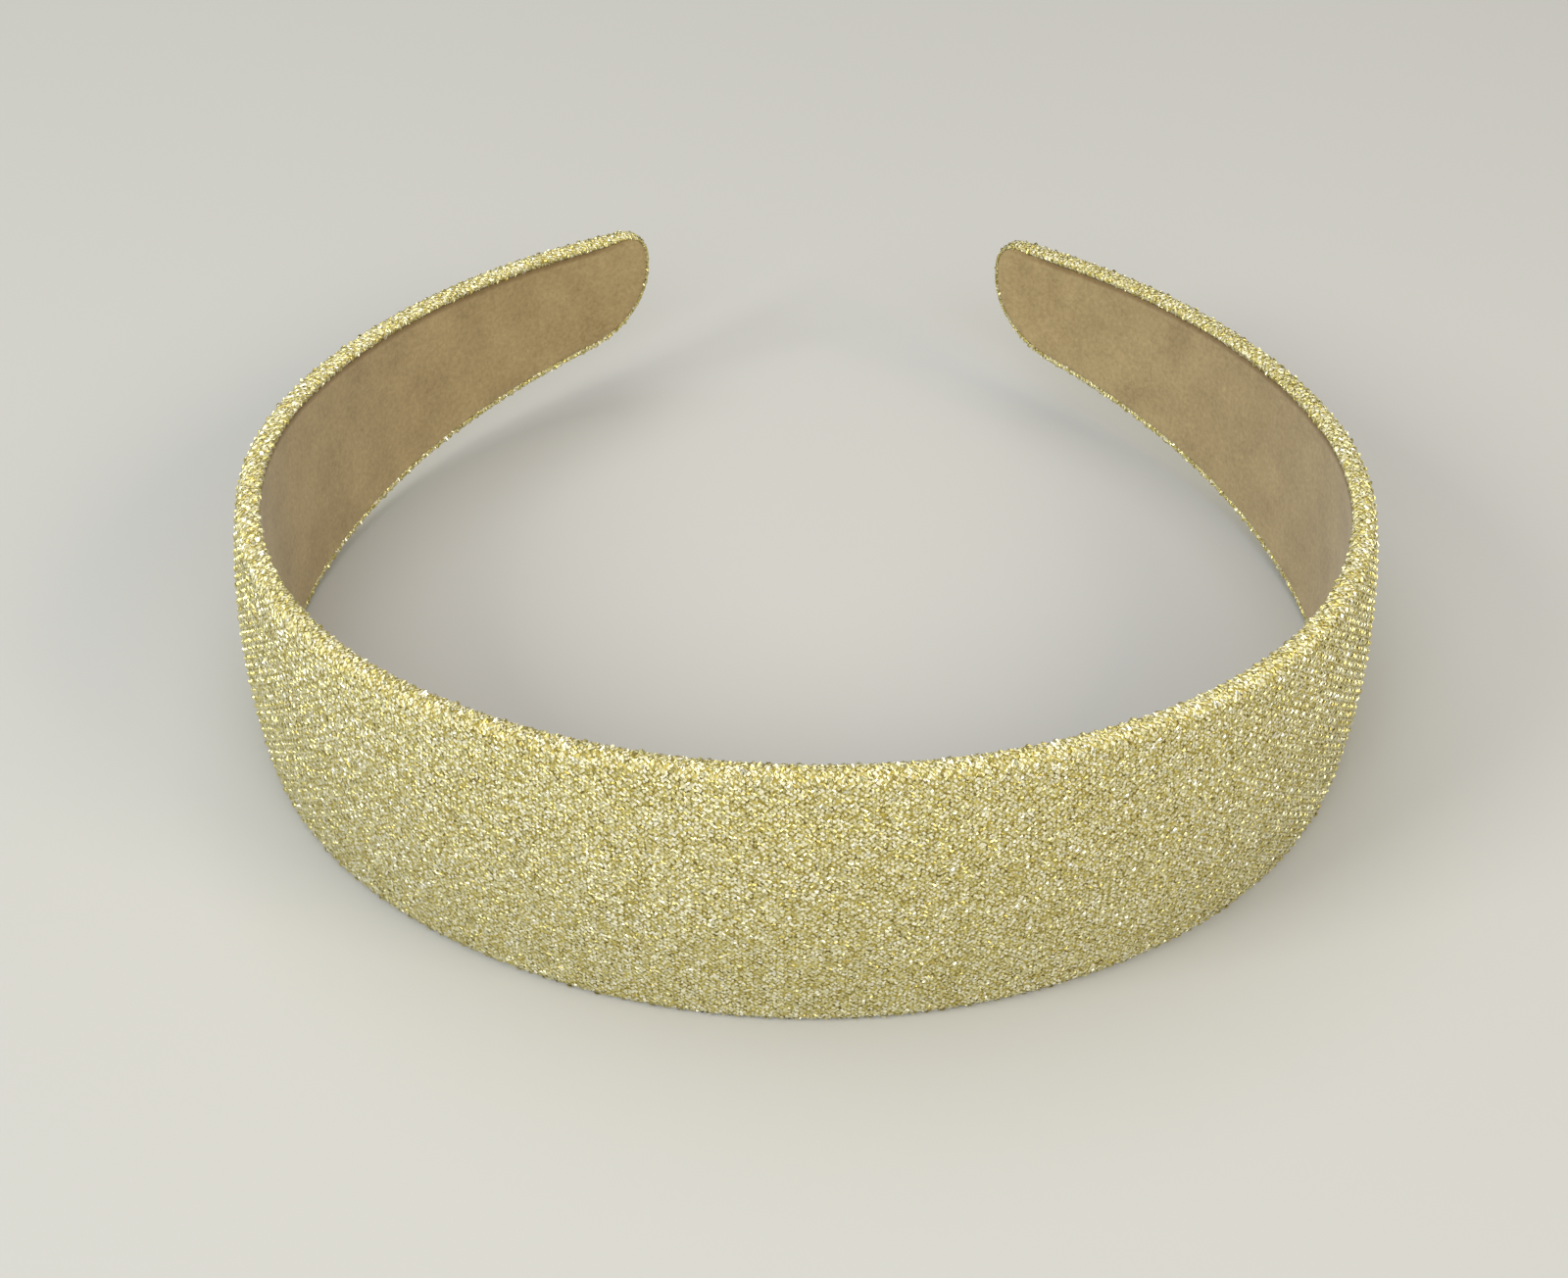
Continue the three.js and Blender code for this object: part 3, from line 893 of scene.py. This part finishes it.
for kind, stitch_row in STITCH_KINDS.items():
    sample, look, repeat, kept_step, shift_mm, wander_mm, *angles, tone_shift, seed = stitch_row
    slant_angle, turn_angle, lean_angle = [math.radians(degrees) for degrees in angles]
    for side, start, stop in KNIT_HALVES:
        piece = bpy.data.objects.new(f"{kind}_{side}", bpy.data.meshes.new(kind))
        scene.collection.objects.link(piece)
        run_tree(piece, knit, {
            "Cloth": cover,
            "Stitch": samples[sample],
            "Wale": WALE,
            "Course": COURSE,
            "Columns": COLUMNS,
            "Rows": ROWS,
            "From": start,
            "To": stop,
            "Shift": (shift_mm[0] * MM, shift_mm[1] * MM, 0.0),
            "Wander": wander_mm * MM,
            "Slant": slant_angle,
            "Turn": turn_angle,
            "Lean": lean_angle,
            "Twill repeat": repeat,
            "Twill step": kept_step,
            "Patch size": PATCH_SIZE,
            "Tone": tone_shift,
            "Lowest": FLOOR_GAP,
            "Seed": seed,
            "Material": look,
        })
        piece.data.calc_loop_triangles()
        knit_pieces.append(piece)
        print(piece.name, "triangles:", len(piece.data.loop_triangles))

# %% [markdown]
# ## Ground material
# Through the gaps of the knit shows its own back: dull olive-gold jersey. Its colour is the jersey's own
# olive, darkened with painted shade for the gaps, so that it is darker and rougher than the loops, with
# a tone of its own for each small cell, about half as wide as a stitch. A Voronoi texture gives every
# cell one random colour, whose red share picks the tone.

# %% Ground of the knit
STITCH_BACK = 0.35 * MM
jersey, jersey_tree, jersey_shader = new_material("olive_gold_jersey_back")
# The back of a dyed polyester knit: matt, in small dabs of olive and dull gold, darkened with painted
# shade for the gaps.
cover_place = add_node(jersey_tree, "ShaderNodeTexCoord").outputs["Object"]
stitch_backs = add_node(jersey_tree, "ShaderNodeTexVoronoi", {
    "Vector": cover_place, "Scale": 1 / STITCH_BACK,
})
back_tone = add_node(jersey_tree, "ShaderNodeSeparateColor", {"Color": stitch_backs.outputs["Color"]})
jersey_and_gap_shade_tones = add_node(jersey_tree, "ShaderNodeValToRGB", {"Fac": back_tone.outputs["Red"]})
# The darkest stops are painted shade for the gaps between the stitches.
set_stops(jersey_and_gap_shade_tones.color_ramp, (
    (0.0, "5c4f1c"),
    (0.18, "8e7d2a"),
    (1.0, "c2b563"),
))
jersey_tree.links.new(jersey_and_gap_shade_tones.outputs["Color"], jersey_shader.inputs["Base Color"])
jersey_shader.inputs["Roughness"].default_value = 0.75
cover.data.materials.clear()
cover.data.materials.append(jersey)
print("ground material:", jersey.name)

# %% [markdown]
# ## The lining
# The inner face carries a strip of tan suede cloth, cut a little smaller than the band and glued into
# the pocket that the turned-in knit leaves. It is a thin shell with softly rolled edges, bent by the
# same tree as the cover. Along its upper edge, where it meets the knit, runs a line of painted shadow
# in the seam. The rows of the edge carry that painted shadow as an attribute, so the line follows the
# edge all the way.

# %% Lining
LINING_FRONT = -1.3 * MM
LINING_GAP = 0.02 * MM
LINING_EDGE = (
    # inset from the pocket in mm, depth from the front in mm, share of the painted shadow in the seam
    (0.80, 0.00, 0.0),
    (0.35, 0.00, 0.8),
    (0.14, 0.03, 1.0),
    (0.05, 0.09, 1.0),
    (0.01, 0.18, 1.0),
    (0.00, 0.30, 1.0),
    (0.00, 0.80, 1.0),
)
edge = np.array(LINING_EDGE)
lining_inset = lip + LINING_GAP + edge[:, 0] * MM
lining_out = np.ones_like(lip) * (LINING_FRONT + edge[:, 1] * MM)
lining = flat_shell("suede_lining", lining_inset, lining_out, False, HIDDEN_MAP_SHIFT)
# Painted shadow in the seam: the edge rows take a share of it along the upper edge, fading out at the
# tips.
painted_shadow_rows = np.zeros(len(lining.data.vertices), dtype=np.float32)
upper_share = np.where(outward[:, 1] > 0, eased, 0.0)[:, None]
painted_shadow_rows[: lining_inset.size] = (upper_share * edge[:, 2]).ravel()
lining.data.attributes.new("seam", "FLOAT", "POINT").data.foreach_set("value", painted_shadow_rows)
bent_piece(lining, GROUND_FLOOR)

# %% [markdown]
# ## Suede
# Sueded cloth has a short nap, and where the nap is stroked another way the tan turns paler or darker.
# So two noises share the colour, broad clouds of nap lying one way and the fibres themselves, and the
# fibres also give a slight bump. There is no gloss, only the faint sheen of standing fibres.

# %% Suede material
# How strong and how dark the painted shadow in the seam is.
PAINTED_SHADOW_SHARE = 0.6
PAINTED_SHADOW_BROWN = "5c4018"
CLOUD_SIZE = 7 * MM
CLOUD_SHARE = 0.45
NAP_SIZE = 0.6 * MM
NAP_SHARE = 0.55
NAP_HEIGHT = 0.12 * MM
# A Mix node has sockets for every kind of value. These are the places of the ones for colours.
MIX_FACTOR = 0
MIX_FIRST = 6
MIX_SECOND = 7
MIX_RESULT = 2
suede, suede_tree, suede_shader = new_material("tan_microfibre_suede")
# Sueded microfibre, its short nap brushed this way and that: matt and cloudy, paler and browner.
lining_place = add_node(suede_tree, "ShaderNodeTexCoord").outputs["Object"]
clouds = add_node(suede_tree, "ShaderNodeTexNoise", {
    "Vector": lining_place, "Scale": 1 / CLOUD_SIZE, "Detail": 4.0, "Roughness": 0.62,
})
nap = add_node(suede_tree, "ShaderNodeTexNoise", {
    "Vector": lining_place, "Scale": 1 / NAP_SIZE, "Detail": 3.0, "Roughness": 0.7,
})
nap_part = add_node(suede_tree, "ShaderNodeMath", {
    0: nap.outputs["Fac"], 1: NAP_SHARE,
}, operation="MULTIPLY")
suede_tone = add_node(suede_tree, "ShaderNodeMath", {
    0: clouds.outputs["Fac"], 1: CLOUD_SHARE, 2: nap_part.outputs[0],
}, operation="MULTIPLY_ADD")
suede_tones = add_node(suede_tree, "ShaderNodeValToRGB", {"Fac": suede_tone.outputs[0]})
set_stops(suede_tones.color_ramp, (
    (0.32, "86724a"),
    (0.68, "ad986c"),
))
# Mixed toward dark brown along the upper edge: painted shadow in the seam, not a colour of the suede.
seam = add_node(suede_tree, "ShaderNodeAttribute", attribute_name="seam").outputs["Fac"]
painted_shadow_share = add_node(suede_tree, "ShaderNodeMath", {0: seam, 1: PAINTED_SHADOW_SHARE}, operation="MULTIPLY")
suede_and_painted_shadow_colour = add_node(suede_tree, "ShaderNodeMix", {
    MIX_FACTOR: painted_shadow_share.outputs[0],
    MIX_FIRST: suede_tones.outputs["Color"],
    MIX_SECOND: srgb(PAINTED_SHADOW_BROWN),
}, data_type="RGBA")
suede_tree.links.new(suede_and_painted_shadow_colour.outputs[MIX_RESULT], suede_shader.inputs["Base Color"])
suede_shader.inputs["Roughness"].default_value = 0.95
suede_shader.inputs["Specular IOR Level"].default_value = 0.15
suede_shader.inputs["Sheen Weight"].default_value = 0.25
suede_shader.inputs["Sheen Roughness"].default_value = 0.6
nap_bump = add_node(suede_tree, "ShaderNodeBump", {
    "Height": nap.outputs["Fac"], "Strength": 0.35, "Distance": NAP_HEIGHT,
})
suede_tree.links.new(nap_bump.outputs["Normal"], suede_shader.inputs["Normal"])
lining.data.materials.clear()
lining.data.materials.append(suede)
print("lining material:", suede.name)

# %% [markdown]
# ## Finishing
# The helper curve and the sample stitches have done their work and go. Every piece rides on the part's
# one body, and the CAD model's own cover and lining are hidden.

# %% Ride and finish
for helper in (plan, *samples.values()):
    bpy.data.objects.remove(helper)
for piece in (cover, *knit_pieces):
    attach(piece, "root")
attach(lining, "root")
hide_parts("cover")
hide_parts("lining")
